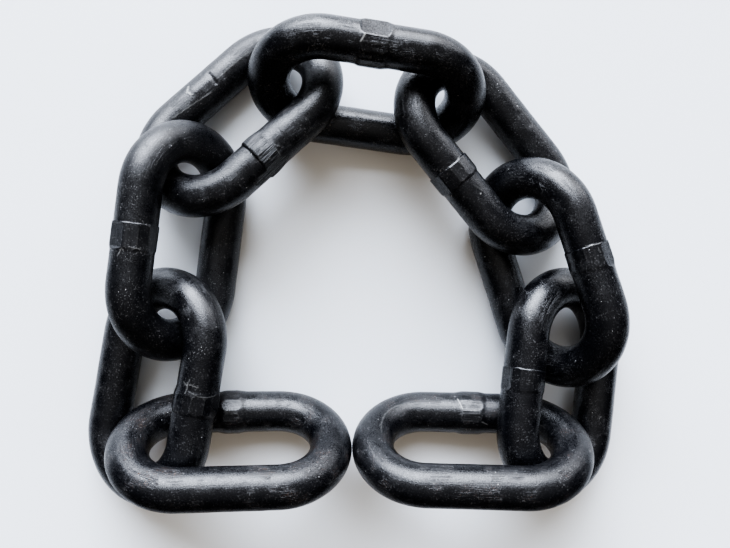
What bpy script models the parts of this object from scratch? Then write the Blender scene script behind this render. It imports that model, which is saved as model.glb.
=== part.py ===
# A length of round steel lifting chain: nine welded links laid on a floor in an arch.
# Each link leans over on the next, by turns to the left and to the right of the run,
# so one of its straight sides is raised and the other is down at the floor.
# One object for each link, with the origin below the middle of the heap.

import math

import bpy
from mathutils import Euler, Matrix

MM = 0.001

# Driving dimensions of a link
WIRE_DIAMETER = 20 * MM
PITCH = 75 * MM               # inside length
INSIDE_WIDTH = 31 * MM

# The butt weld in the middle of one straight side
COLLAR_LENGTH = 12 * MM       # upset metal, left proud of the wire by the trimming tool
COLLAR_PROUD = 1.0 * MM
COLLAR_RAMP = 0.8 * MM        # its sloping ends
TRIM_PROUD = 0.4 * MM         # the flat trimmed on its outer side, above the wire

# How finely the solids are faceted
SECTION_RESOLUTION = 6
SECTION_SIDES = 4 + 2 * SECTION_RESOLUTION
CROWN_STEPS = 12              # straight pieces round each half-circle end
SHARP_ANGLE = math.radians(30)

# Where each link lies: the middle of its plan in mm, the heading of its long axis,
# how far its plane is rolled up about that axis (0 is flat, and over 90 it leans to
# the right of its heading), and how far its leading end is tipped up, in degrees.
# Its weld is in the raised side or in the side down at the floor.
LAYOUT = {
    "link_1": dict(at=(-62.5, -88.5), heading=180, lean=58, tip=3, weld="floor"),
    "link_2": dict(at=(-99.0, -60.0), heading=80, lean=148, tip=2, weld="raised"),
    "link_3": dict(at=(-87.0, 9.5), heading=83, lean=48, tip=0, weld="raised"),
    "link_4": dict(at=(-59.5, 69.0), heading=43, lean=152, tip=-4, weld="raised"),
    "link_5": dict(at=(2.5, 83.0), heading=-7, lean=52, tip=-3, weld="raised"),
    "link_6": dict(at=(62.5, 54.5), heading=-50, lean=153, tip=-4, weld="raised"),
    "link_7": dict(at=(89.5, -5.5), heading=-73, lean=49, tip=3, weld="raised"),
    "link_8": dict(at=(99.0, -60.0), heading=-98, lean=151, tip=5, weld="raised"),
    "link_9": dict(at=(52.5, -89.5), heading=179, lean=59, tip=-6, weld="floor"),
}

# Worked out from the driving dimensions
WIRE_RADIUS = WIRE_DIAMETER / 2
CROWN_RADIUS = (INSIDE_WIDTH + WIRE_DIAMETER) / 2     # centreline of a round end
HALF_STRAIGHT = (PITCH + WIRE_DIAMETER) / 2 - CROWN_RADIUS
WELD_SIDE = {"raised": 1, "floor": -1}                # which way it lies along the link's Y


def clear_scene():
    for obj in list(bpy.data.objects):
        bpy.data.objects.remove(obj, do_unlink=True)


def new_collection(name):
    collection = bpy.data.collections.new(name)
    bpy.context.scene.collection.children.link(collection)
    return collection


def black_steel():
    """Heat-blackened alloy steel under a thin dark lacquer."""
    material = bpy.data.materials.new("black_steel")
    material.use_nodes = True
    shader = material.node_tree.nodes["Principled BSDF"]
    shader.inputs["Base Color"].default_value = (0.012, 0.012, 0.014, 1)
    shader.inputs["Roughness"].default_value = 0.4
    shader.inputs["Metallic"].default_value = 0
    return material


def centreline(weld_side):
    """Points (x, y, wire scale) once round a link that lies flat along X."""
    swell = 1 + COLLAR_PROUD / WIRE_RADIUS
    half = COLLAR_LENGTH / 2
    foot = half + COLLAR_RAMP
    collar = [(-foot, 1), (-half, swell), (half, swell), (foot, 1)]
    points = []
    for side in (1, -1):
        if side == weld_side:
            points += [(side * along, side * CROWN_RADIUS, scale) for along, scale in collar]
        for step in range(CROWN_STEPS + 1):
            angle = math.pi * step / CROWN_STEPS
            x = HALF_STRAIGHT + CROWN_RADIUS * math.sin(angle)
            y = CROWN_RADIUS * math.cos(angle)
            points.append((side * x, side * y, 1))
    return points


def section_roll(lean):
    """Turn of the wire's section that puts a facet, not an edge, towards the floor."""
    return math.radians(lean) + math.pi / SECTION_SIDES


def bent_wire(name, place):
    """The link's bar as one closed sweep, with the swelling of its weld."""
    curve = bpy.data.curves.new(name + "_sweep", "CURVE")
    curve.dimensions = "3D"
    curve.twist_mode = "Z_UP"
    curve.bevel_depth = WIRE_RADIUS
    curve.bevel_resolution = SECTION_RESOLUTION
    points = centreline(WELD_SIDE[place["weld"]])
    spline = curve.splines.new("POLY")
    spline.points.add(len(points) - 1)
    spline.use_cyclic_u = True
    for point, (x, y, scale) in zip(spline.points, points):
        point.co = (x, y, 0, 1)
        point.radius = scale
        point.tilt = section_roll(place["lean"])
    return curve


def mesh_object(name, curve, collection):
    """An object that holds the curve's swept surface as a mesh."""
    sweep = bpy.data.objects.new(curve.name, curve)
    collection.objects.link(sweep)
    depsgraph = bpy.context.evaluated_depsgraph_get()
    mesh = bpy.data.meshes.new_from_object(sweep.evaluated_get(depsgraph))
    mesh.name = name
    obj = bpy.data.objects.new(name, mesh)
    obj.matrix_world = sweep.matrix_world
    bpy.data.objects.remove(sweep, do_unlink=True)
    collection.objects.link(obj)
    return obj


def trim_weld(link, weld_side, cutters):
    """Trim the outer side of the weld's collar to a flat."""
    length = COLLAR_LENGTH + 4 * COLLAR_RAMP
    depth = WIRE_RADIUS / 2
    block = Matrix.Diagonal((length, depth, WIRE_DIAMETER, 1))
    bpy.ops.mesh.primitive_cube_add(size=1)
    cutter = bpy.context.object
    cutter.name = link.name + "_trim"
    cutter.data.transform(block)
    cutter.parent = link
    cutter.location.y = weld_side * (CROWN_RADIUS + WIRE_RADIUS + TRIM_PROUD + depth / 2)
    cutter.hide_render = True
    cutter.display_type = "WIRE"
    cutter.users_collection[0].objects.unlink(cutter)
    cutters.objects.link(cutter)
    trim = link.modifiers.new("trim", "BOOLEAN")
    trim.operation = "DIFFERENCE"
    trim.solver = "EXACT"
    trim.object = cutter


def lay_on_floor(link, place):
    """Turn the link to its heading, lean and tip, and let it down to the floor."""
    angles = (place["lean"], -place["tip"], place["heading"])
    turn = Euler([math.radians(angle) for angle in angles])
    matrix = turn.to_matrix()
    lowest = min((matrix @ vertex.co).z for vertex in link.data.vertices)
    x, y = place["at"]
    link.rotation_euler = turn
    link.location = (x * MM, y * MM, -lowest)


def build_chain():
    clear_scene()
    chain = new_collection("lifting_chain")
    cutters = new_collection("cutters")
    steel = black_steel()
    for name, place in LAYOUT.items():
        link = mesh_object(name, bent_wire(name, place), chain)
        link.data.materials.append(steel)
        link.data.shade_smooth()
        link.data.set_sharp_from_angle(angle=SHARP_ANGLE)
        lay_on_floor(link, place)
        trim_weld(link, WELD_SIDE[place["weld"]], cutters)


build_chain()
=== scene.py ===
# Nine welded links of black lifting chain, laid in an arch on a pale floor.
# The dictionaries hold millimetres and degrees; Blender gets metres and radians.

import math

import bpy
from mathutils import Euler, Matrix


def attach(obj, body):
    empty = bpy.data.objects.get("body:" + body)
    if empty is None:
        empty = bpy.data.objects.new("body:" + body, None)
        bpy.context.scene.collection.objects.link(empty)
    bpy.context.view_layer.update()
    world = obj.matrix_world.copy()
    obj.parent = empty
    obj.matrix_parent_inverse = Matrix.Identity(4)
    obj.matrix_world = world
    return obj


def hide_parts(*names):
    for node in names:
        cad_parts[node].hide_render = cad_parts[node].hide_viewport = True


print("Loading the chain's solids")
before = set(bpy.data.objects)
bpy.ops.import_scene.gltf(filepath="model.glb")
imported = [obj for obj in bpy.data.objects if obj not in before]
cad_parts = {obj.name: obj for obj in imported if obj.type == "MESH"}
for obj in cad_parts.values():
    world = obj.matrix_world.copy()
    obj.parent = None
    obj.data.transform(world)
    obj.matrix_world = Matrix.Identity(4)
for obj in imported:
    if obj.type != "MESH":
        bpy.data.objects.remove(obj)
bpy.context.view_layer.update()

mm = 0.001


def linearColour(hexCode):  # sRGB hex to the linear values that Blender's sockets hold
    parts = [int(hexCode[i:i + 2], 16) / 255 for i in (1, 3, 5)]
    return [p / 12.92 if p <= 0.04045 else ((p + 0.055) / 1.055) ** 2.4 for p in parts] + [1]


def addNode(tree, kind, inputs=(), **settings):
    # inputs are nodes, sockets or values: a list in socket order, or a dictionary by name or number
    node = tree.nodes.new(kind)
    for name, value in settings.items():
        setattr(node, name, value)
    pairs = inputs.items() if isinstance(inputs, dict) else enumerate(inputs)
    for key, value in pairs:
        if isinstance(value, bpy.types.Node):
            value = value.outputs[0]
        if isinstance(value, bpy.types.NodeSocket):
            tree.links.new(value, node.inputs[key])
        elif value is not None:
            node.inputs[key].default_value = value
    return node


# Camera: the phone was held over the arch, a little to the left and tipped to the right

camera = {
    "place": (-22.0, -7.5, 412.6),
    "turn": (0.21, -3.505, 0.0),
    "lens": 39.21,  # on a 36 mm sensor
}


def makeCamera():
    data = bpy.data.cameras.new("camera")
    data.lens = camera["lens"]
    data.sensor_width = 36
    data.clip_start = 0.01
    obj = bpy.data.objects.new("camera", data)
    obj.location = [v * mm for v in camera["place"]]
    obj.rotation_euler = [math.radians(v) for v in camera["turn"]]
    bpy.context.scene.collection.objects.link(obj)
    bpy.context.scene.camera = obj


# Studio: cool daylight from one tall soft window beyond the top of the arch, in two discs with a wide
# glow about them, and from a dimmer window to its right, then a warm fill from this side that the
# steel doesn't mirror, a room that pales towards its ceiling, and a pale board for a floor

studio = {
    # heading from +Y towards +X, height, how wide the soft disc looks, strength, colour, and whether the
    # steel mirrors it
    "windows": {
        "lowWindow": (-18, 20, 54, 7.13, "#e9f0fd", True),
        "highWindow": (-6, 37, 48, 6.92, "#e9f0fd", True),
        "sideWindow": (34, 14, 50, 3.0, "#f0f2f8", True),
        "windowGlow": (-7, 32, 72, 1.1, "#f8f5f0", True),
        "fill": (180, 26, 60, 1.1, "#ffe4c6", False),
    },
    "look": "AgX - High Contrast",  # as a phone develops its pictures
    "roomColour": "#f7f5f4",
    "bounceColour": "#fdf0dc",  # the room's light as it falls on matt surfaces
    "ceilingLift": (0, 0.2, 0.98),  # the way to the palest part of the room
    "roomDark": -0.15,       # cosines of the turn from there at which the room is dark and palest
    "roomPale": 0.97,
    "roomFall": 2.4,         # over 1, so it darkens fast at first
    "roomGlow": 0.66,
    "backdropColour": "#e4e7ea",
    "backdropGlow": 1.6,
    "floorColour": "#ced3d9",
    "floorRoughness": 0.5,
    "floorSize": 30000,
    # painted reflection: past this reach the floor shows mirror rays a dark colour, for a dark room
    "boardMiddle": (0, 190, 0),  # past the board's edge the steel mirrors a dark room
    "boardReach": (330, 430),    # where its edge starts to darken, and where it is dark
    "paintedDarkReflection": "#202022",
}


def makeStudio():
    print("Setting up the windows, the room and the floor")
    scene = bpy.context.scene
    scene.view_settings.view_transform = "AgX"
    scene.view_settings.look = studio["look"]
    for name, (heading, height, width, strength, colour, mirrored) in studio["windows"].items():
        window = bpy.data.lights.new(name, "SUN")
        window.energy = strength
        window.color = linearColour(colour)[:3]
        window.angle = math.radians(width)
        obj = bpy.data.objects.new(name, window)
        obj.rotation_euler = (math.radians(height - 90), 0, math.radians(-heading))
        obj.visible_glossy = mirrored
        scene.collection.objects.link(obj)

    world = bpy.data.worlds.new("room")
    scene.world = world
    world.use_nodes = True
    tree = world.node_tree
    tree.nodes.clear()
    direction = addNode(tree, "ShaderNodeTexCoord").outputs["Generated"]
    towards = addNode(tree, "ShaderNodeVectorMath", [direction, studio["ceilingLift"]],
                      operation="DOT_PRODUCT")
    share = addNode(tree, "ShaderNodeMapRange", [
        towards.outputs["Value"], studio["roomDark"], studio["roomPale"], 0, 1])
    fall = addNode(tree, "ShaderNodeMath", [share, studio["roomFall"]], operation="POWER")
    glow = addNode(tree, "ShaderNodeMath", [fall, studio["roomGlow"]], operation="MULTIPLY")
    rays = addNode(tree, "ShaderNodeLightPath").outputs
    colour = addNode(tree, "ShaderNodeMix", {
        "Factor": rays["Is Diffuse Ray"], 6: linearColour(studio["roomColour"]),
        7: linearColour(studio["bounceColour"])}, data_type="RGBA").outputs[2]
    room = addNode(tree, "ShaderNodeBackground", [colour, glow])
    backdrop = addNode(tree, "ShaderNodeBackground", [
        linearColour(studio["backdropColour"]), studio["backdropGlow"]])
    mix = addNode(tree, "ShaderNodeMixShader", [rays["Is Camera Ray"], room, backdrop])
    addNode(tree, "ShaderNodeOutputWorld", [mix])

    material = bpy.data.materials.new("paintedBoard")  # matt white paint, rolled on: even, no gloss
    material.use_nodes = True
    tree = material.node_tree
    shader = tree.nodes["Principled BSDF"]
    shader.inputs["Base Color"].default_value = linearColour(studio["floorColour"])
    shader.inputs["Roughness"].default_value = studio["floorRoughness"]
    place = addNode(tree, "ShaderNodeTexCoord").outputs["Object"]
    centred = addNode(tree, "ShaderNodeVectorMath", [place, [v * mm for v in studio["boardMiddle"]]],
                      operation="SUBTRACT")
    distance = addNode(tree, "ShaderNodeVectorMath", [centred], operation="LENGTH").outputs["Value"]
    nearEdge, farEdge = studio["boardReach"]
    past = addNode(tree, "ShaderNodeMapRange", [distance, nearEdge * mm, farEdge * mm, 0, 1])
    # painted dark reflection: past that reach the floor is dark to mirror rays only, pale to the camera
    mirrored = addNode(tree, "ShaderNodeLightPath").outputs["Is Glossy Ray"]
    dark = addNode(tree, "ShaderNodeMath", [past, mirrored], operation="MULTIPLY")
    paintedDarkReflection = addNode(tree, "ShaderNodeBsdfDiffuse", [linearColour(studio["paintedDarkReflection"])])
    mix = addNode(tree, "ShaderNodeMixShader", [dark, shader, paintedDarkReflection])
    tree.links.new(mix.outputs[0], tree.nodes["Material Output"].inputs["Surface"])
    half = studio["floorSize"] / 2 * mm
    corners = [(-half, -half, 0), (half, -half, 0), (half, half, 0), (-half, half, 0)]
    mesh = bpy.data.meshes.new("floor")
    mesh.from_pydata(corners, [], [(0, 1, 2, 3)])
    mesh.materials.append(material)
    floor = bpy.data.objects.new("floor", mesh)
    scene.collection.objects.link(floor)


# The finish: quenched and tempered alloy steel, black with the scale of its heat treatment under a
# thin dark lacquer. To the eye it is near black and semi-gloss. The scale's grain and the lacquer's
# pores break up the highlights, the drawing die has left fine lines along the bar, and it has picked
# up powdery dust, a few specks and, on the end links, a little brown.

blackFinish = {
    "base": "#07080c",
    "worn": "#0d0d10",       # thinner lacquer, paler
    "roughness": (0.17, 0.33),
    "mattRoughness": 0.13,   # more of it on a link whose lacquer has dulled
    "ior": 1.5,              # a lacquer's
    "poreSize": 0.6,         # as coarse as the grain, for the same reason
    "poreRoughness": 0.5,
    "patchSize": 9,          # slow patches, which all the rest follows
    "grainSize": 0.6,        # twice the real grain, which would not show at this distance
    "grainDepth": 0.095,
    "grainOnWeld": 0.35,     # the trimming tool took most of it off
    "dieLineSize": 0.8,      # how far apart the lines are, and how much longer they run than that
    "dieLineStretch": 45,
    "dieLineDepth": 0.04,
    "scoreLevel": 0.52,      # the odd deeper line, where the die lines' noise crosses this level
    "scoreWidth": 0.03,
    "scoreDepth": 0.07,
    "scrapeSize": 0.5,       # what the trimming tool left on the weld
    "scrapeStretch": 30,
    "scrapeDepth": 0.13,
    "powderSize": 0.7,       # coarser than real dust, as the grain is
    "powderShare": 0.36,
    "speckSpacing": 2.6,
    "speckSize": 0.55,
    "speckShare": (0.06, 0.65),  # how many cells hold a speck, outside and inside their crowds
    "dust": "#8c8d8e",
    "dustRoughness": 0.4,    # what dust and rust add to the lacquer's
    "rust": "#6b4a34",
    "rustShare": 0.6,
    "rustRoughness": 0.3,
    # bare steel's colour, also used for the painted highlight lines at some welds' ends
    "bareSteelAndGlint": "#8f908e",
}


def makeBlackFinish():
    # a noise runs from about 0.3 to 0.7, so the levels from 0.4 up pick out its higher places
    print("Mixing the black finish")
    material = bpy.data.materials.new("blackLacqueredAlloySteel")
    material.use_nodes = True
    tree = material.node_tree
    shader = tree.nodes["Principled BSDF"]
    shader.inputs["IOR"].default_value = blackFinish["ior"]
    place = addNode(tree, "ShaderNodeTexCoord").outputs["Object"]

    # slow patches in the lacquer, and the scale's grain
    patches = addNode(tree, "ShaderNodeTexNoise", {
        "Vector": place, "Scale": 1 / (blackFinish["patchSize"] * mm), "Detail": 3, "Roughness": 0.55})
    grain = addNode(tree, "ShaderNodeTexNoise", {
        "Vector": place, "Scale": 1 / (blackFinish["grainSize"] * mm), "Detail": 3, "Roughness": 0.7})

    # lines along the bar: its own place round the section and along the wire, drawn out lengthwise
    onWire = addNode(tree, "ShaderNodeAttribute", attribute_name="patternPlace").outputs["Vector"]
    turn = addNode(tree, "ShaderNodeAttribute", attribute_name="patternTurn").outputs["Fac"]
    lines = {}
    for name in ("dieLine", "scrape"):
        stretch = blackFinish[name + "Stretch"]
        drawn = addNode(tree, "ShaderNodeVectorMath", [onWire, (1, 1, 1 / stretch)], operation="MULTIPLY")
        drawnTurn = addNode(tree, "ShaderNodeMath", [turn, 1 / stretch], operation="MULTIPLY")
        lines[name] = addNode(tree, "ShaderNodeTexNoise", {
            "Vector": drawn, "W": drawnTurn, "Scale": 1 / (blackFinish[name + "Size"] * mm),
            "Detail": 2, "Roughness": 0.6}, noise_dimensions="4D")
    level = addNode(tree, "ShaderNodeMath", [lines["dieLine"], -blackFinish["scoreLevel"]], operation="ADD")
    off = addNode(tree, "ShaderNodeMath", [level], operation="ABSOLUTE")
    score = addNode(tree, "ShaderNodeMapRange", [off, 0, blackFinish["scoreWidth"], 1, 0])
    whereScored = addNode(tree, "ShaderNodeMapRange", [patches, 0.5, 0.6, 0, 1])
    scored = addNode(tree, "ShaderNodeMath", [score, whereScored], operation="MULTIPLY")

    # heights in mm
    onWeld = addNode(tree, "ShaderNodeAttribute", attribute_name="scraped").outputs["Fac"]
    scraped = addNode(tree, "ShaderNodeMath", [lines["scrape"], onWeld], operation="MULTIPLY")
    scaled = addNode(tree, "ShaderNodeMapRange", [onWeld, 0, 0.6, 1, blackFinish["grainOnWeld"]])
    grainy = addNode(tree, "ShaderNodeMath", [grain, scaled], operation="MULTIPLY")
    height = addNode(tree, "ShaderNodeMath", [grainy, blackFinish["grainDepth"]], operation="MULTIPLY")
    height = addNode(tree, "ShaderNodeMath", [
        lines["dieLine"], blackFinish["dieLineDepth"], height], operation="MULTIPLY_ADD")
    height = addNode(tree, "ShaderNodeMath", [
        scored, blackFinish["scoreDepth"], height], operation="MULTIPLY_ADD")
    height = addNode(tree, "ShaderNodeMath", [
        scraped, blackFinish["scrapeDepth"], height], operation="MULTIPLY_ADD")
    bump = addNode(tree, "ShaderNodeBump", {"Strength": 1, "Distance": mm, "Height": height})
    tree.links.new(bump.outputs[0], shader.inputs["Normal"])

    # dust lies in loose crowds of specks, and rust in smaller patches on the links marked for it
    cells = addNode(tree, "ShaderNodeTexVoronoi", {
        "Vector": place, "Scale": 1 / (blackFinish["speckSpacing"] * mm)})
    chance = addNode(tree, "ShaderNodeSeparateColor", [cells.outputs["Color"]])
    reach = blackFinish["speckSize"] / blackFinish["speckSpacing"] / 2
    size = addNode(tree, "ShaderNodeMath", [chance.outputs["Green"], reach], operation="MULTIPLY")
    inside = addNode(tree, "ShaderNodeMath", [size, cells.outputs["Distance"]], operation="GREATER_THAN")
    crowd = addNode(tree, "ShaderNodeMapRange", [patches, 0.42, 0.62, *blackFinish["speckShare"]])
    chosen = addNode(tree, "ShaderNodeMath", [crowd, chance.outputs["Red"]], operation="GREATER_THAN")
    dusty = addNode(tree, "ShaderNodeMath", [inside, chosen], operation="MULTIPLY")
    brown = addNode(tree, "ShaderNodeAttribute", attribute_name="brown").outputs["Fac"]
    rustGrain = addNode(tree, "ShaderNodeMapRange", [grain, 0.58, 0.68, 0, 1])
    rustPatch = addNode(tree, "ShaderNodeMapRange", [patches, 0.54, 0.68, 0, blackFinish["rustShare"]])
    rusty = addNode(tree, "ShaderNodeMath", [rustGrain, rustPatch], operation="MULTIPLY")
    rusty = addNode(tree, "ShaderNodeMath", [rusty, brown], operation="MULTIPLY")

    # finer powder all over, thicker in the same crowds
    powder = addNode(tree, "ShaderNodeTexNoise", {
        "Vector": place, "Scale": 1 / (blackFinish["powderSize"] * mm), "Detail": 1})
    powderGrain = addNode(tree, "ShaderNodeMapRange", [powder, 0.6, 0.74, 0, blackFinish["powderShare"]])
    powderCrowd = addNode(tree, "ShaderNodeMapRange", [patches, 0.4, 0.65, 0.15, 1])
    powdered = addNode(tree, "ShaderNodeMath", [powderGrain, powderCrowd], operation="MULTIPLY")

    # bare steel at scraped edges, burrs and scratches, and painted highlight lines at some welds' ends
    bareAndGlint = addNode(tree, "ShaderNodeAttribute", attribute_name="bareAndGlint").outputs["Fac"]
    thin = addNode(tree, "ShaderNodeMapRange", [patches, 0.4, 0.7, 0, 1])
    colour = linearColour(blackFinish["base"])
    layers = ((thin, "worn"), (powdered, "dust"), (rusty, "rust"), (dusty, "dust"), (bareAndGlint, "bareSteelAndGlint"))
    for share, name in layers:
        colour = addNode(tree, "ShaderNodeMix", {
            "Factor": share, 6: colour, 7: linearColour(blackFinish[name])}, data_type="RGBA").outputs[2]
    tree.links.new(colour, shader.inputs["Base Color"])

    rough = addNode(tree, "ShaderNodeMapRange", [patches, 0.3, 0.7, *blackFinish["roughness"]])
    matt = addNode(tree, "ShaderNodeAttribute", attribute_name="matt").outputs["Fac"]
    pores = addNode(tree, "ShaderNodeTexNoise", {
        "Vector": place, "Scale": 1 / (blackFinish["poreSize"] * mm), "Detail": 1, "W": 3.0},
        noise_dimensions="4D")
    centred = addNode(tree, "ShaderNodeMath", [pores, -0.5], operation="ADD")
    pitted = addNode(tree, "ShaderNodeMath", [centred, scaled], operation="MULTIPLY")
    layers = ((matt, "matt"), (pitted, "pore"), (dusty, "dust"), (rusty, "rust"))
    for share, name in layers:
        rough = addNode(tree, "ShaderNodeMath", [share, blackFinish[name + "Roughness"], rough],
                        operation="MULTIPLY_ADD")
    tree.links.new(rough.outputs[0], shader.inputs["Roughness"])
    return material


# Links: small steps of geometry nodes, each added to a link as a modifier


def newTree(name, inputs):
    # a modifier's tree with a Geometry socket and the named inputs, as name: (kind, default)
    tree = bpy.data.node_groups.new(name, "GeometryNodeTree")
    tree.interface.new_socket("Geometry", in_out="INPUT", socket_type="NodeSocketGeometry")
    for label, (kind, default) in inputs.items():
        socket = tree.interface.new_socket(label, in_out="INPUT", socket_type="NodeSocket" + kind)
        if default is not None:
            socket.default_value = default
    tree.interface.new_socket("Geometry", in_out="OUTPUT", socket_type="NodeSocketGeometry")
    source = tree.nodes.new("NodeGroupInput").outputs
    return tree, source


def endTree(tree, geometry, material):
    # every tree ends the same way, so any of them can be the last on an object
    real = addNode(tree, "GeometryNodeRealizeInstances", [geometry])
    made = addNode(tree, "GeometryNodeSetMaterial", {"Geometry": real, "Material": material})
    addNode(tree, "NodeGroupOutput", [made])


def sweptWireTree():
    # A round bar bent to a link that lies flat along X, its weld in the middle of the side at +Y.
    # It keeps its own measures as attributes: alongWire from the weld, aroundWire (0 outwards,
    # + upwards), the wire's middle, and a pattern place that closes on itself both ways.
    tree, source = newTree("sweptWire", {
        "Wire Diameter": ("Float", 0.02),
        "Inside Length": ("Float", 0.075),
        "Inside Width": ("Float", 0.031),
        "Rings": ("Int", 372),
        "Sides": ("Int", 144),
        "Material": ("Material", None),
    })
    wireRadius = addNode(tree, "ShaderNodeMath", [source["Wire Diameter"], 0.5], operation="MULTIPLY")
    widthSum = addNode(tree, "ShaderNodeMath", [source["Inside Width"], source["Wire Diameter"]],
                       operation="ADD")
    crown = addNode(tree, "ShaderNodeMath", [widthSum, 0.5], operation="MULTIPLY")
    lengthSum = addNode(tree, "ShaderNodeMath", [source["Inside Length"], source["Wire Diameter"]],
                        operation="ADD")
    straight = addNode(tree, "ShaderNodeMath", [lengthSum, widthSum], operation="SUBTRACT")
    halfStraight = addNode(tree, "ShaderNodeMath", [straight, 0.5], operation="MULTIPLY")
    crownArc = addNode(tree, "ShaderNodeMath", [crown, math.pi], operation="MULTIPLY")
    halfWire = addNode(tree, "ShaderNodeMath", [straight, crownArc], operation="ADD")

    # the rings' places, from -1 to 1 round the link, closest together at the weld in its middle
    closing = 0.35  # each wave takes so much of the average spacing off there
    index = addNode(tree, "GeometryNodeInputIndex")
    turn = addNode(tree, "ShaderNodeMath", [index, source["Rings"]], operation="DIVIDE")
    share = addNode(tree, "ShaderNodeMath", [turn, 2, -1], operation="MULTIPLY_ADD")
    eased = share
    for waves in (1, 2):
        phase = addNode(tree, "ShaderNodeMath", [share, waves * math.pi], operation="MULTIPLY")
        crowd = addNode(tree, "ShaderNodeMath", [phase], operation="SINE")
        eased = addNode(tree, "ShaderNodeMath", [crowd, -closing / (waves * math.pi), eased],
                        operation="MULTIPLY_ADD")
    along = addNode(tree, "ShaderNodeMath", [eased, halfWire], operation="MULTIPLY")

    # the path of the wire's middle: a straight, a half circle and a straight, the same both ways
    side = addNode(tree, "ShaderNodeMath", [along], operation="SIGN")
    reach = addNode(tree, "ShaderNodeMath", [along], operation="ABSOLUTE")
    endOfCrown = addNode(tree, "ShaderNodeMath", [halfStraight, crownArc], operation="ADD")
    angle = addNode(tree, "ShaderNodeMapRange", [reach, halfStraight, endOfCrown, 0, math.pi])
    first = addNode(tree, "ShaderNodeMath", [reach, halfStraight], operation="MINIMUM")
    past = addNode(tree, "ShaderNodeMath", [reach, endOfCrown], operation="SUBTRACT")
    last = addNode(tree, "ShaderNodeMath", [past, 0], operation="MAXIMUM")
    sine = addNode(tree, "ShaderNodeMath", [angle], operation="SINE")
    cosine = addNode(tree, "ShaderNodeMath", [angle], operation="COSINE")
    level = addNode(tree, "ShaderNodeMath", [first, last], operation="SUBTRACT")
    far = addNode(tree, "ShaderNodeMath", [sine, crown, level], operation="MULTIPLY_ADD")
    pathX = addNode(tree, "ShaderNodeMath", [far, side], operation="MULTIPLY")
    pathY = addNode(tree, "ShaderNodeMath", [cosine, crown], operation="MULTIPLY")
    axis = addNode(tree, "ShaderNodeCombineXYZ", [pathX, pathY, 0])
    outX = addNode(tree, "ShaderNodeMath", [sine, side], operation="MULTIPLY")
    outward = addNode(tree, "ShaderNodeCombineXYZ", [outX, cosine, 0])

    line = addNode(tree, "GeometryNodeCurvePrimitiveLine")
    rings = addNode(tree, "GeometryNodeResampleCurve", {"Curve": line, "Count": source["Rings"]})
    marked = addNode(tree, "GeometryNodeStoreNamedAttribute", [rings, None, "alongWire", along])
    marked = addNode(tree, "GeometryNodeStoreNamedAttribute", [
        marked, None, "wireMiddle", axis], data_type="FLOAT_VECTOR")
    marked = addNode(tree, "GeometryNodeStoreNamedAttribute", [
        marked, None, "outward", outward], data_type="FLOAT_VECTOR")
    path = addNode(tree, "GeometryNodeSetPosition", {"Geometry": marked, "Position": axis})
    loop = addNode(tree, "GeometryNodeSetSplineCyclic", {"Geometry": path, "Cyclic": True})
    loop = addNode(tree, "GeometryNodeSetCurveNormal", [loop], mode="Z_UP")
    section = addNode(tree, "GeometryNodeCurvePrimitiveCircle", {
        "Resolution": source["Sides"], "Radius": wireRadius})
    tube = addNode(tree, "GeometryNodeCurveToMesh", [loop, section])

    # angle round the wire, from the outside of the link
    position = addNode(tree, "GeometryNodeInputPosition")
    middle = addNode(tree, "GeometryNodeInputNamedAttribute", ["wireMiddle"], data_type="FLOAT_VECTOR")
    outHere = addNode(tree, "GeometryNodeInputNamedAttribute", ["outward"], data_type="FLOAT_VECTOR")
    alongHere = addNode(tree, "GeometryNodeInputNamedAttribute", ["alongWire"])
    offset = addNode(tree, "ShaderNodeVectorMath", [position, middle], operation="SUBTRACT")
    outDot = addNode(tree, "ShaderNodeVectorMath", [offset, outHere], operation="DOT_PRODUCT")
    outPart = outDot.outputs["Value"]
    upPart = addNode(tree, "ShaderNodeSeparateXYZ", [offset]).outputs["Z"]
    around = addNode(tree, "ShaderNodeMath", [upPart, outPart], operation="ARCTAN2")

    # a pattern's place: x and y go round the section, z and the turn go round the whole wire
    loopRadius = addNode(tree, "ShaderNodeMath", [halfWire, math.pi], operation="DIVIDE")
    loopAngle = addNode(tree, "ShaderNodeMath", [alongHere, loopRadius], operation="DIVIDE")
    loopCosine = addNode(tree, "ShaderNodeMath", [loopAngle], operation="COSINE")
    loopSine = addNode(tree, "ShaderNodeMath", [loopAngle], operation="SINE")
    loopZ = addNode(tree, "ShaderNodeMath", [loopCosine, loopRadius], operation="MULTIPLY")
    loopTurn = addNode(tree, "ShaderNodeMath", [loopSine, loopRadius], operation="MULTIPLY")
    pattern = addNode(tree, "ShaderNodeCombineXYZ", [outPart, upPart, loopZ])

    tube = addNode(tree, "GeometryNodeStoreNamedAttribute", [tube, None, "aroundWire", around])
    tube = addNode(tree, "GeometryNodeStoreNamedAttribute", [
        tube, None, "patternPlace", pattern], data_type="FLOAT_VECTOR")
    tube = addNode(tree, "GeometryNodeStoreNamedAttribute", [tube, None, "patternTurn", loopTurn])
    smooth = addNode(tree, "GeometryNodeSetShadeSmooth", [tube])
    endTree(tree, smooth, source["Material"])
    return tree


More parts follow.
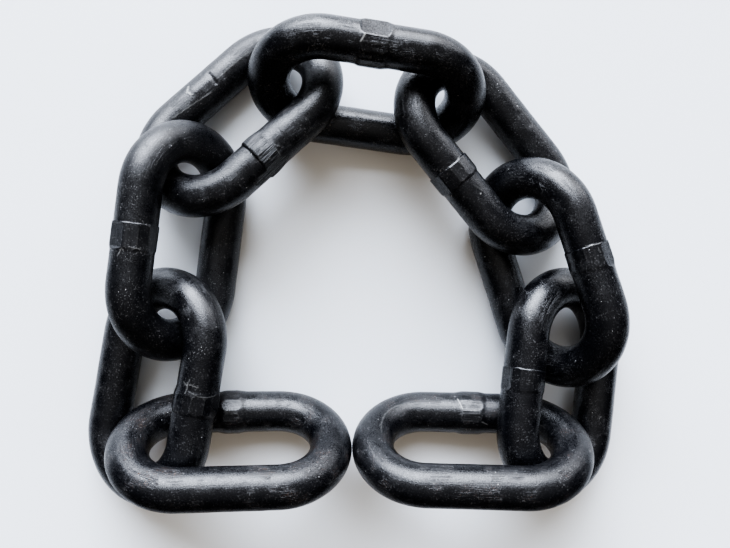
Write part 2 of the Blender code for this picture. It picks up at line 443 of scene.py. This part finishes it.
def swollenWeldTree():
    # The metal squeezed out round the butt weld: a low dome, as a distance from the wire's middle.
    # surface is what is left of it once it is trimmed, and nextSurface the next nearest cut, so the
    # edge between two flats is where the two are close.
    tree, source = newTree("swollenWeld", {
        "Wire Radius": ("Float", 0.01),
        "From": ("Float", -0.006),
        "To": ("Float", 0.006),
        "From Ramp": ("Float", 0.002),
        "To Ramp": ("Float", 0.002),
        "Swell": ("Float", 0.0008),
        "Uneven": ("Float", 0.0005),
        "Uneven Size": ("Float", 0.007),
        "Seed": ("Float", 0.0),
        "Material": ("Material", None),
    })
    along = addNode(tree, "GeometryNodeInputNamedAttribute", ["alongWire"])
    position = addNode(tree, "GeometryNodeInputPosition")
    seeded = addNode(tree, "ShaderNodeVectorMath", [position, source["Seed"]], operation="ADD")
    scale = addNode(tree, "ShaderNodeMath", [1, source["Uneven Size"]], operation="DIVIDE")
    noise = addNode(tree, "ShaderNodeTexNoise", {"Vector": seeded, "Scale": scale, "Detail": 1})
    wander = addNode(tree, "ShaderNodeMath", [noise, 2, -1], operation="MULTIPLY_ADD")
    here = addNode(tree, "ShaderNodeMath", [wander, source["Uneven"], along], operation="MULTIPLY_ADD")
    fromTop = addNode(tree, "ShaderNodeMath", [source["From"], source["From Ramp"]], operation="ADD")
    toTop = addNode(tree, "ShaderNodeMath", [source["To"], source["To Ramp"]], operation="SUBTRACT")
    rise = addNode(tree, "ShaderNodeMapRange", [here, source["From"], fromTop, 0, 1],
                   interpolation_type="SMOOTHSTEP")
    fall = addNode(tree, "ShaderNodeMapRange", [here, toTop, source["To"], 1, 0],
                   interpolation_type="SMOOTHSTEP")
    profile = addNode(tree, "ShaderNodeMath", [rise, fall], operation="MULTIPLY")
    dome = addNode(tree, "ShaderNodeMath", [profile, source["Swell"], source["Wire Radius"]],
                   operation="MULTIPLY_ADD")
    farOff = addNode(tree, "ShaderNodeMath", [dome, source["Wire Radius"]], operation="ADD")
    made = source["Geometry"]
    for name, value in (("dome", dome), ("surface", dome), ("nextSurface", farOff)):
        made = addNode(tree, "GeometryNodeStoreNamedAttribute", [made, None, name, value])
    endTree(tree, made, source["Material"])
    return tree


def trimmedFlatTree():
    # One flat cut along the wire, with sloping ends: the surface becomes the nearer of itself and it
    tree, source = newTree("trimmedFlat", {
        "Around": ("Float", 0.0),
        "Height": ("Float", 0.01),
        "Middle": ("Float", 0.0),
        "Length": ("Float", 0.012),
        "End Slope": ("Float", 0.8),
        "Wire Length": ("Float", 0.248),
        "Material": ("Material", None),
    })
    along = addNode(tree, "GeometryNodeInputNamedAttribute", ["alongWire"])
    around = addNode(tree, "GeometryNodeInputNamedAttribute", ["aroundWire"])
    surface = addNode(tree, "GeometryNodeInputNamedAttribute", ["surface"])
    nextSurface = addNode(tree, "GeometryNodeInputNamedAttribute", ["nextSurface"])
    turned = addNode(tree, "ShaderNodeMath", [around, source["Around"]], operation="SUBTRACT")
    cosine = addNode(tree, "ShaderNodeMath", [turned], operation="COSINE")
    facing = addNode(tree, "ShaderNodeMath", [cosine, 0.05], operation="MAXIMUM")  # far off, not behind
    plane = addNode(tree, "ShaderNodeMath", [source["Height"], facing], operation="DIVIDE")
    distance = addNode(tree, "ShaderNodeMath", [along, source["Middle"]], operation="SUBTRACT")
    apart = addNode(tree, "ShaderNodeMath", [distance], operation="ABSOLUTE")
    otherWay = addNode(tree, "ShaderNodeMath", [source["Wire Length"], apart], operation="SUBTRACT")
    nearest = addNode(tree, "ShaderNodeMath", [apart, otherWay], operation="MINIMUM")
    past = addNode(tree, "ShaderNodeMath", [source["Length"], -0.5, nearest], operation="MULTIPLY_ADD")
    beyond = addNode(tree, "ShaderNodeMath", [past, 0], operation="MAXIMUM")
    flat = addNode(tree, "ShaderNodeMath", [beyond, source["End Slope"], plane], operation="MULTIPLY_ADD")
    higher = addNode(tree, "ShaderNodeMath", [surface, flat], operation="MAXIMUM")
    second = addNode(tree, "ShaderNodeMath", [nextSurface, higher], operation="MINIMUM")
    first = addNode(tree, "ShaderNodeMath", [surface, flat], operation="MINIMUM")
    made = source["Geometry"]
    for name, value in (("nextSurface", second), ("surface", first)):
        made = addNode(tree, "GeometryNodeStoreNamedAttribute", [made, None, name, value])
    endTree(tree, made, source["Material"])
    return tree


def scrapedEdgeTree():
    # Where two flats meet the tool left a ragged burr, bare of lacquer, and lines along each flat
    tree, source = newTree("scrapedEdge", {
        "Wire Radius": ("Float", 0.01),
        "Scraped": ("Float", 1.0),
        "Edge Width": ("Float", 0.00006),
        "Edge Bare": ("Float", 0.1),
        "Burr": ("Float", 0.00006),
        "Burr Size": ("Float", 0.003),
        "Scrape Size": ("Float", 0.0009),
        "Scrape Stretch": ("Float", 26.0),
        "Scrape Depth": ("Float", 0.00005),
        "Seed": ("Float", 0.0),
        "Material": ("Material", None),
    })
    surface = addNode(tree, "GeometryNodeInputNamedAttribute", ["surface"])
    nextSurface = addNode(tree, "GeometryNodeInputNamedAttribute", ["nextSurface"])
    dome = addNode(tree, "GeometryNodeInputNamedAttribute", ["dome"])
    position = addNode(tree, "GeometryNodeInputPosition")
    seeded = addNode(tree, "ShaderNodeVectorMath", [position, source["Seed"]], operation="ADD")
    step = addNode(tree, "ShaderNodeMath", [nextSurface, surface], operation="SUBTRACT")
    close = addNode(tree, "ShaderNodeMapRange", [step, 0, source["Edge Width"], 1, 0],
                    interpolation_type="SMOOTHSTEP")
    burrScale = addNode(tree, "ShaderNodeMath", [1, source["Burr Size"]], operation="DIVIDE")
    noise = addNode(tree, "ShaderNodeTexNoise", {"Vector": seeded, "Scale": burrScale, "Detail": 3})
    ragged = addNode(tree, "ShaderNodeMapRange", [noise, 0.42, 0.62, 0, 1])
    edge = addNode(tree, "ShaderNodeMath", [close, ragged], operation="MULTIPLY")

    # the tool's lines show where it cut over 0.02 mm deep, and a little on the rest of the swelling
    cut = addNode(tree, "ShaderNodeMath", [dome, surface], operation="SUBTRACT")
    trimmed = addNode(tree, "ShaderNodeMapRange", [cut, 0.02 * mm, 0.12 * mm, 0, 1])
    swollen = addNode(tree, "ShaderNodeMath", [dome, source["Wire Radius"]], operation="SUBTRACT")
    onDome = addNode(tree, "ShaderNodeMapRange", [swollen, 0.03 * mm, 0.25 * mm, 0, 1])
    onWeld = addNode(tree, "ShaderNodeMath", [trimmed, onDome], operation="MAXIMUM")
    worked = addNode(tree, "ShaderNodeMath", [onWeld, source["Scraped"]], operation="MULTIPLY")
    pattern = addNode(tree, "GeometryNodeInputNamedAttribute", ["patternPlace"], data_type="FLOAT_VECTOR")
    turn = addNode(tree, "GeometryNodeInputNamedAttribute", ["patternTurn"])
    shorten = addNode(tree, "ShaderNodeMath", [1, source["Scrape Stretch"]], operation="DIVIDE")
    squeeze = addNode(tree, "ShaderNodeCombineXYZ", [1, 1, shorten])
    drawn = addNode(tree, "ShaderNodeVectorMath", [pattern, squeeze], operation="MULTIPLY")
    drawnTurn = addNode(tree, "ShaderNodeMath", [turn, shorten, source["Seed"]], operation="MULTIPLY_ADD")
    scale = addNode(tree, "ShaderNodeMath", [1, source["Scrape Size"]], operation="DIVIDE")
    lines = addNode(tree, "ShaderNodeTexNoise", {
        "Vector": drawn, "W": drawnTurn, "Scale": scale, "Detail": 2}, noise_dimensions="4D")
    centred = addNode(tree, "ShaderNodeMath", [lines, 2, -1], operation="MULTIPLY_ADD")
    scraped = addNode(tree, "ShaderNodeMath", [centred, worked], operation="MULTIPLY")
    lift = addNode(tree, "ShaderNodeMath", [scraped, source["Scrape Depth"]], operation="MULTIPLY")
    lift = addNode(tree, "ShaderNodeMath", [edge, source["Burr"], lift], operation="MULTIPLY_ADD")
    made = source["Geometry"]
    bareAndGlint = addNode(tree, "ShaderNodeMath", [edge, source["Edge Bare"]], operation="MULTIPLY")
    for name, value in (("lift", lift), ("bareAndGlint", bareAndGlint), ("scraped", worked)):
        made = addNode(tree, "GeometryNodeStoreNamedAttribute", [made, None, name, value])
    endTree(tree, made, source["Material"])
    return tree


def toolMarkAndGlintTree():
    # A scratch, a burr, a nick or a painted highlight line at a weld's end: a stroke between two places on
    # the wire
    tree, source = newTree("toolMarkAndGlint", {
        "Wire Radius": ("Float", 0.01),
        "From Along": ("Float", 0.0),
        "From Around": ("Float", 0.0),
        "To Along": ("Float", 0.001),
        "To Around": ("Float", 0.0),
        "Width": ("Float", 0.0008),
        "Height": ("Float", 0.0),
        "Brightness": ("Float", 0.5),
        "Material": ("Material", None),
    })
    along = addNode(tree, "GeometryNodeInputNamedAttribute", ["alongWire"])
    around = addNode(tree, "GeometryNodeInputNamedAttribute", ["aroundWire"])
    unrolled = []
    for reach, turned in ((along, around), (source["From Along"], source["From Around"]),
                          (source["To Along"], source["To Around"])):
        girth = addNode(tree, "ShaderNodeMath", [turned, source["Wire Radius"]], operation="MULTIPLY")
        unrolled.append(addNode(tree, "ShaderNodeCombineXYZ", [reach, girth, 0]))
    here, start, end = unrolled
    away = addNode(tree, "ShaderNodeVectorMath", [here, start], operation="SUBTRACT")
    stroke = addNode(tree, "ShaderNodeVectorMath", [end, start], operation="SUBTRACT")
    ahead = addNode(tree, "ShaderNodeVectorMath", [away, stroke], operation="DOT_PRODUCT")
    square = addNode(tree, "ShaderNodeVectorMath", [stroke, stroke], operation="DOT_PRODUCT")
    part = addNode(tree, "ShaderNodeMath", [ahead.outputs["Value"], square.outputs["Value"]],
                   operation="DIVIDE", use_clamp=True)
    foot = addNode(tree, "ShaderNodeVectorMath", {0: stroke, "Scale": part}, operation="SCALE")
    gap = addNode(tree, "ShaderNodeVectorMath", [away, foot], operation="DISTANCE").outputs["Value"]
    # whole along its middle, and gone a little past half its width
    inner = addNode(tree, "ShaderNodeMath", [source["Width"], 0.15], operation="MULTIPLY")
    outer = addNode(tree, "ShaderNodeMath", [source["Width"], 0.6], operation="MULTIPLY")
    mark = addNode(tree, "ShaderNodeMapRange", [gap, inner, outer, 1, 0], interpolation_type="SMOOTHSTEP")
    lift = addNode(tree, "GeometryNodeInputNamedAttribute", ["lift"])
    bareAndGlint = addNode(tree, "GeometryNodeInputNamedAttribute", ["bareAndGlint"])
    lifted = addNode(tree, "ShaderNodeMath", [mark, source["Height"], lift], operation="MULTIPLY_ADD")
    # the stroke's pale colour: bare steel on scratches and burrs, a painted highlight on weld-end lines
    bright = addNode(tree, "ShaderNodeMath", [mark, source["Brightness"]], operation="MULTIPLY")
    moreBareAndGlint = addNode(tree, "ShaderNodeMath", [bright, bareAndGlint], operation="MAXIMUM")
    made = source["Geometry"]
    for name, value in (("lift", lifted), ("bareAndGlint", moreBareAndGlint)):
        made = addNode(tree, "GeometryNodeStoreNamedAttribute", [made, None, name, value])
    endTree(tree, made, source["Material"])
    return tree


def scaledBarTree():
    # Sets the surface off the wire's middle, with the forged bar's slow waves and the scale's relief
    tree, source = newTree("scaledBar", {
        "Wave Size": ("Float", 0.014),
        "Wave Depth": ("Float", 0.0001),
        "Scale Size": ("Float", 0.003),
        "Scale Depth": ("Float", 0.00003),
        "Seed": ("Float", 0.0),
        "Brown": ("Float", 0.0),
        "Matt": ("Float", 0.0),
        "Material": ("Material", None),
    })
    position = addNode(tree, "GeometryNodeInputPosition")
    middle = addNode(tree, "GeometryNodeInputNamedAttribute", ["wireMiddle"], data_type="FLOAT_VECTOR")
    surface = addNode(tree, "GeometryNodeInputNamedAttribute", ["surface"])
    lift = addNode(tree, "GeometryNodeInputNamedAttribute", ["lift"])
    seeded = addNode(tree, "ShaderNodeVectorMath", [position, source["Seed"]], operation="ADD")
    radius = addNode(tree, "ShaderNodeMath", [surface, lift], operation="ADD")
    for size, depth, detail in (("Wave Size", "Wave Depth", 1), ("Scale Size", "Scale Depth", 3)):
        scale = addNode(tree, "ShaderNodeMath", [1, source[size]], operation="DIVIDE")
        noise = addNode(tree, "ShaderNodeTexNoise", {"Vector": seeded, "Scale": scale, "Detail": detail})
        height = addNode(tree, "ShaderNodeMath", [noise, 2, -1], operation="MULTIPLY_ADD")
        radius = addNode(tree, "ShaderNodeMath", [height, source[depth], radius], operation="MULTIPLY_ADD")
    offset = addNode(tree, "ShaderNodeVectorMath", [position, middle], operation="SUBTRACT")
    radial = addNode(tree, "ShaderNodeVectorMath", [offset], operation="NORMALIZE")
    out = addNode(tree, "ShaderNodeVectorMath", {0: radial, "Scale": radius}, operation="SCALE")
    place = addNode(tree, "ShaderNodeVectorMath", [middle, out], operation="ADD")
    made = addNode(tree, "GeometryNodeSetPosition", {"Geometry": source["Geometry"], "Position": place})
    for name, value in (("brown", source["Brown"]), ("matt", source["Matt"])):
        made = addNode(tree, "GeometryNodeStoreNamedAttribute", [made, None, name, value])
    endTree(tree, made, source["Material"])
    return tree


def laidDownTree():
    # Turns a link to its lean, tip and heading and lets it down until it touches the floor
    tree, source = newTree("laidDown", {
        "Weld Turn": ("Float", 0.0),
        "Turn": ("Rotation", None),
        "Place": ("Vector", None),
        "Material": ("Material", None),
    })
    spin = addNode(tree, "ShaderNodeCombineXYZ", [0, 0, source["Weld Turn"]])
    spun = addNode(tree, "GeometryNodeTransform", {"Geometry": source["Geometry"], "Rotation": spin})
    turned = addNode(tree, "GeometryNodeTransform", {"Geometry": spun, "Rotation": source["Turn"]})
    position = addNode(tree, "GeometryNodeInputPosition")
    height = addNode(tree, "ShaderNodeSeparateXYZ", [position]).outputs["Z"]
    lowest = addNode(tree, "GeometryNodeAttributeStatistic", [turned, None, height]).outputs["Min"]
    drop = addNode(tree, "ShaderNodeMath", [0, lowest], operation="SUBTRACT")
    down = addNode(tree, "ShaderNodeCombineXYZ", [0, 0, drop])
    move = addNode(tree, "ShaderNodeVectorMath", [source["Place"], down], operation="ADD")
    laid = addNode(tree, "GeometryNodeTransform", {"Geometry": turned, "Translation": move})
    endTree(tree, laid, source["Material"])
    return tree


# The sizes that all nine links share

linkSize = {
    "wireDiameter": 20.0,
    "insideLength": 75.0,
    "insideWidth": 31.0,
    "rings": 372,            # faces along the wire and round it
    "sides": 144,
    "weldSwell": 0.7,        # the dome of squeezed-out metal round the butt weld
    "weldUneven": 0.7,       # how far its ends wander, and over what length
    "weldUnevenSize": 7.0,
    "flatEndSlope": 0.6,     # how steeply a flat runs out at its ends
    "edgeWidth": 0.06,       # two flats' edge is bare where they are this near to each other
    "edgeBare": 0.12,        # how much of the steel shows there
    "burr": 0.06,            # how high it stands, and over what length it comes and goes
    "burrSize": 3.0,
    "scrapeSize": 0.9,
    "scrapeStretch": 26.0,
    "scrapeDepth": 0.05,
    "waveSize": 14.0,        # the forged bar is not quite even
    "waveDepth": 0.12,
    "scaleSize": 2.6,        # the scale's low relief
    "scaleDepth": 0.03,
}

# Each link's place is its solid's: the middle of its plan, the heading of its long axis, how far it
# leans over about that axis, and how far its leading end tips up. side is 1 where the weld is in the
# raised side of the link, and -1 where it is down at the floor. scraped is how strongly the trimming
# tool's lines show, brown how much rust there is, and matt how dull the lacquer is.
# weld is the swelling's start and end along the wire, and ramps how long those ends slope. swell and
# edgeBare stand in for the shared ones. A flat goes from one angle round the wire to another, 0 on the
# outer side, and may have a start, end and end slope of its own. A clamp mark is along, around, length,
# depth, end slope. The other marks are scratches, burrs, dents and, at some welds' ends, painted
# highlight lines, as strokes: along, around, along, around, width, height (below 0 for a dent) and how
# much pale bare-steel colour they paint, which on the highlight lines is painted light.

links = {
    "chainLink1": dict(
        node="link_1", at=(-62.5, -88.5), heading=180, lean=58, tip=3, side=-1, seed=11,
        scraped=1.0, brown=1.0, matt=0.5,
        weld=(-7.4, 7.8), ramps=(4.5, 6.0),
        flats=((-26, 24), (84, 106), (106, 135), (135, 144), (144, 163)),
        clamps=(),
        marks=()),
    "chainLink2": dict(
        node="link_2", at=(-99.0, -60.0), heading=80, lean=148, tip=2, side=1, seed=12,
        scraped=0.8, brown=0.0, matt=0.5,
        weld=(-7.0, 5.6), ramps=(2.2, 4.2),
        flats=((-9, 32), (-31, -9), (-62, -31), (-85, -62), (-106, -85)),
        clamps=(),
        # the last three strokes paint a highlight along the weld's end, over a low ridge; the rest are
        # scratches
        marks=(
            (10.1, -78, 3.5, -82, 0.5, 0.03, 0.3), (7.9, -75, 7.0, -51, 0.5, 0.03, 0.3),
            (8.5, -95, 7.1, -83, 0.5, 0.03, 0.3), (4.7, -75, 3.0, -45, 0.5, 0.05, 0.12),
            (3.0, -45, 3.0, -28, 0.5, 0.05, 0.2), (3.0, -28, 4.1, 12, 0.5, 0.05, 0.14))),
    "chainLink3": dict(
        node="link_3", at=(-87.0, 9.5), heading=83, lean=48, tip=0, side=1, seed=13,
        scraped=1.0, brown=0.0, matt=0.9,
        weld=(-8.0, 5.0), ramps=(2.4, 0.25), swell=0.45,
        flats=((-27, 28, -6.2, 3.6, 0.7), (34, 62, -7.6, 4.8, 0.2), (62, 92, -7.6, 4.8, 0.2), (92, 122)),
        clamps=((-114.0, 100, 7, 0.2, 0.6),),
        # the second and third strokes paint a highlight along the lower end of the weld's pad, over a low
        # ridge
        marks=(
            (-6.9, 27, -10.2, 18, 0.5, 0.06, 0.35), (-5.7, 44, -6.3, 60, 0.5, 0.10, 0.25),
            (-6.3, 60, -5.9, 74, 0.5, 0.08, 0.2))),
    "chainLink4": dict(
        node="link_4", at=(-59.5, 69.0), heading=43, lean=152, tip=-4, side=1, seed=14,
        scraped=5.0, brown=0.0, matt=0.7,
        weld=(-9.6, 3.0), ramps=(1.6, 9.0),
        flats=((-60, -38), (-106, -82)),
        clamps=((-7.0, 3, 14, 0.5, 0.12),),
        marks=(
            (0.4, -45, 0.1, -21, 0.5, 0.04, 0.2), (7.7, -79, 6.8, -61, 0.9, -0.1, 0.0),
            (119.5, -92, 119.9, -126, 2.4, -0.45, 0.0), (-119.0, -100, -123.6, -100, 7.0, 0.25, 0.0),
            (123.6, -100, 122.0, -100, 7.0, 0.25, 0.0), (-117.6, -76, -114.9, -90, 0.8, 0.12, 0.8),
            (-114.9, -90, -115.8, -108, 0.8, 0.12, 0.8), (94.0, -119, 118.0, -119, 0.5, 0.06, 0.3),
            (-123.5, -137, -114.5, -130, 0.5, 0.06, 0.25), (-114.5, -130, -101.0, -121, 0.5, 0.06, 0.25))),
    "chainLink5": dict(
        node="link_5", at=(2.5, 83.0), heading=-7, lean=52, tip=-3, side=1, seed=15,
        scraped=0.3, brown=0.0, matt=0.0,
        weld=(-9.6, 7.0), ramps=(3.2, 4.5),
        flats=((-26, 32, -8.2, 4.0, 0.6), (32, 52), (52, 74), (74, 98)),
        clamps=(),
        marks=((-6.4, 32, -8.2, 53, 0.7, 0.10, 0.6), (-6.0, 31, 3.0, 32, 0.5, 0.04, 0.25))),
    "chainLink6": dict(
        node="link_6", at=(62.5, 54.5), heading=-50, lean=153, tip=-4, side=1, seed=16,
        scraped=1.0, brown=0.0, matt=0.3,
        weld=(-8.1, 2.6), ramps=(0.4, 2.4),
        flats=((-18, 24, -9, 3.8, 0.4), (-54, -18), (-82, -54), (-108, -82)),
        clamps=((-124.0, -100, 9, 0.25, 0.6),),
        marks=(
            (11.2, -76, 11.3, -76, 0.8, 0.1, 0.8), (-9.1, -30, -9.0, -29, 0.6, 0.1, 0.5),
            (5.8, -76, 10.8, -86, 0.5, 0.03, 0.12))),
    "chainLink7": dict(
        node="link_7", at=(89.5, -5.5), heading=-73, lean=49, tip=3, side=1, seed=17,
        scraped=0.8, brown=0.0, matt=0.2,
        weld=(-6.5, 5.8), ramps=(0.2, 3.4), swell=0.4, edgeBare=0.05,
        flats=((-25, 22, -5.4, 4.6, 0.5), (22, 43, -6.4, 5.4, 0.2), (47, 68, -6.4, 5.4, 0.2),
               (68, 85), (85, 101)),
        clamps=(),
        # the first two strokes paint a highlight along the weld's end, over a low ridge
        marks=(
            (-7.0, 60, -6.0, 36, 0.5, 0.05, 0.15), (-4.7, 31, -2.1, 28, 0.5, 0.03, 0.15),
            (10.3, 15, 10.4, 15, 0.6, 0.1, 0.5))),
    "chainLink8": dict(
        node="link_8", at=(99.0, -60.0), heading=-98, lean=151, tip=5, side=1, seed=18,
        scraped=1.4, brown=0.0, matt=0.0,
        weld=(-4.2, 7.4), ramps=(0.22, 2.6), swell=0.35, edgeBare=0.03,
        flats=((-16, 28, -3.6, 6.2, 0.8), (-38, -16, -4.1, 6.8, 0.2), (-62, -40), (-122, -97)),
        clamps=(),
        marks=()),
    "chainLink9": dict(
        node="link_9", at=(52.5, -89.5), heading=179, lean=59, tip=-6, side=-1, seed=19,
        scraped=1.2, brown=0.8, matt=0.7,
        weld=(-8.0, 8.8), ramps=(5.5, 4.6),
        flats=((-26, 24), (84, 104), (104, 134), (134, 143), (143, 163)),
        clamps=(),
        marks=(
            (-6.0, 100, -3.7, 129, 0.7, 0.10, 0.7), (5.8, 164, 8.8, 174, 0.6, 0.06, 0.3),
            (-7.0, 120, -19.5, 119, 0.6, 0.03, 0.08), (-19.5, 119, -31.0, 112, 0.6, 0.03, 0.08),
            (-31.0, 112, -39.2, 104, 0.6, 0.03, 0.1), (-39.2, 104, -49.8, 106, 0.6, 0.04, 0.16),
            (-49.8, 106, -63.4, 115, 0.6, 0.04, 0.16))),
}


def addStep(obj, tree, values):
    # a modifier with the tree, its inputs set by their sockets' identifiers
    step = obj.modifiers.new(tree.name, "NODES")
    step.node_group = tree
    for item in tree.interface.items_tree:
        if item.in_out == "INPUT" and item.name in values:
            step[item.identifier] = values[item.name]


def addFlat(obj, tree, start, end, around, height, slope, finish):
    # the wire's length once round tells the flat how near it is the other way about
    straight = linkSize["insideLength"] - linkSize["insideWidth"]
    crown = (linkSize["insideWidth"] + linkSize["wireDiameter"]) / 2
    addStep(obj, tree, {
        "Around": math.radians(around),
        "Height": height * mm,
        "Middle": (start + end) / 2 * mm,
        "Length": (end - start) * mm,
        "End Slope": slope,
        "Wire Length": 2 * (straight + math.pi * crown) * mm,
        "Material": finish,
    })


def makeLink(name, link, trees, finish):
    obj = bpy.data.objects.new(name, bpy.data.meshes.new(name))
    bpy.context.scene.collection.objects.link(obj)
    wireRadius = linkSize["wireDiameter"] / 2
    seed = float(link["seed"])
    addStep(obj, trees["wire"], {
        "Wire Diameter": linkSize["wireDiameter"] * mm,
        "Inside Length": linkSize["insideLength"] * mm,
        "Inside Width": linkSize["insideWidth"] * mm,
        "Rings": linkSize["rings"],
        "Sides": linkSize["sides"],
        "Material": finish,
    })
    start, end = link["weld"]
    startRamp, endRamp = link["ramps"]
    swell = link.get("swell", linkSize["weldSwell"])
    addStep(obj, trees["weld"], {
        "Wire Radius": wireRadius * mm,
        "From": start * mm,
        "To": end * mm,
        "From Ramp": startRamp * mm,
        "To Ramp": endRamp * mm,
        "Swell": swell * mm,
        "Uneven": linkSize["weldUneven"] * mm,
        "Uneven Size": linkSize["weldUnevenSize"] * mm,
        "Seed": seed,
        "Material": finish,
    })
    domeRadius = wireRadius + swell
    for first, last, *own in link["flats"]:  # the edges of each lie on the dome
        flatStart, flatEnd, slope = own or (*link["weld"], linkSize["flatEndSlope"])
        height = domeRadius * math.cos(math.radians(last - first) / 2)
        addFlat(obj, trees["flat"], flatStart, flatEnd, (first + last) / 2, height, slope, finish)
    for along, around, length, depth, slope in link["clamps"]:
        addFlat(obj, trees["flat"], along - length / 2, along + length / 2, around, wireRadius - depth,
                slope, finish)
    addStep(obj, trees["edge"], {
        "Wire Radius": wireRadius * mm,
        "Scraped": link["scraped"],
        "Edge Width": linkSize["edgeWidth"] * mm,
        "Edge Bare": link.get("edgeBare", linkSize["edgeBare"]),
        "Burr": linkSize["burr"] * mm,
        "Burr Size": linkSize["burrSize"] * mm,
        "Scrape Size": linkSize["scrapeSize"] * mm,
        "Scrape Stretch": linkSize["scrapeStretch"],
        "Scrape Depth": linkSize["scrapeDepth"] * mm,
        "Seed": seed,
        "Material": finish,
    })
    for fromAlong, fromAround, toAlong, toAround, width, height, brightness in link["marks"]:
        addStep(obj, trees["mark"], {
            "Wire Radius": wireRadius * mm,
            "From Along": fromAlong * mm,
            "From Around": math.radians(fromAround),
            "To Along": toAlong * mm,
            "To Around": math.radians(toAround),
            "Width": width * mm,
            "Height": height * mm,
            "Brightness": brightness,
            "Material": finish,
        })
    addStep(obj, trees["bar"], {
        "Wave Size": linkSize["waveSize"] * mm,
        "Wave Depth": linkSize["waveDepth"] * mm,
        "Scale Size": linkSize["scaleSize"] * mm,
        "Scale Depth": linkSize["scaleDepth"] * mm,
        "Seed": seed,
        "Brown": link["brown"],
        "Matt": link["matt"],
        "Material": finish,
    })
    x, y = link["at"]
    addStep(obj, trees["lay"], {
        "Weld Turn": 0.0 if link["side"] > 0 else math.pi,
        "Turn": Euler([math.radians(v) for v in (link["lean"], -link["tip"], link["heading"])]),
        "Place": (x * mm, y * mm, 0.0),
        "Material": finish,
    })
    evaluated = obj.evaluated_get(bpy.context.evaluated_depsgraph_get())
    mesh = bpy.data.meshes.new_from_object(evaluated)
    mesh.name = name
    obj.modifiers.clear()
    obj.data = mesh
    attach(obj, "root")
    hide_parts(link["node"])
    return obj


makeCamera()
makeStudio()
finish = makeBlackFinish()
print("Building the links' node trees")
trees = {
    "wire": sweptWireTree(),
    "weld": swollenWeldTree(),
    "flat": trimmedFlatTree(),
    "edge": scrapedEdgeTree(),
    "mark": toolMarkAndGlintTree(),
    "bar": scaledBarTree(),
    "lay": laidDownTree(),
}
for name, link in links.items():
    made = makeLink(name, link, trees, finish)
    print("Made", name, "with", len(made.data.polygons), "faces")
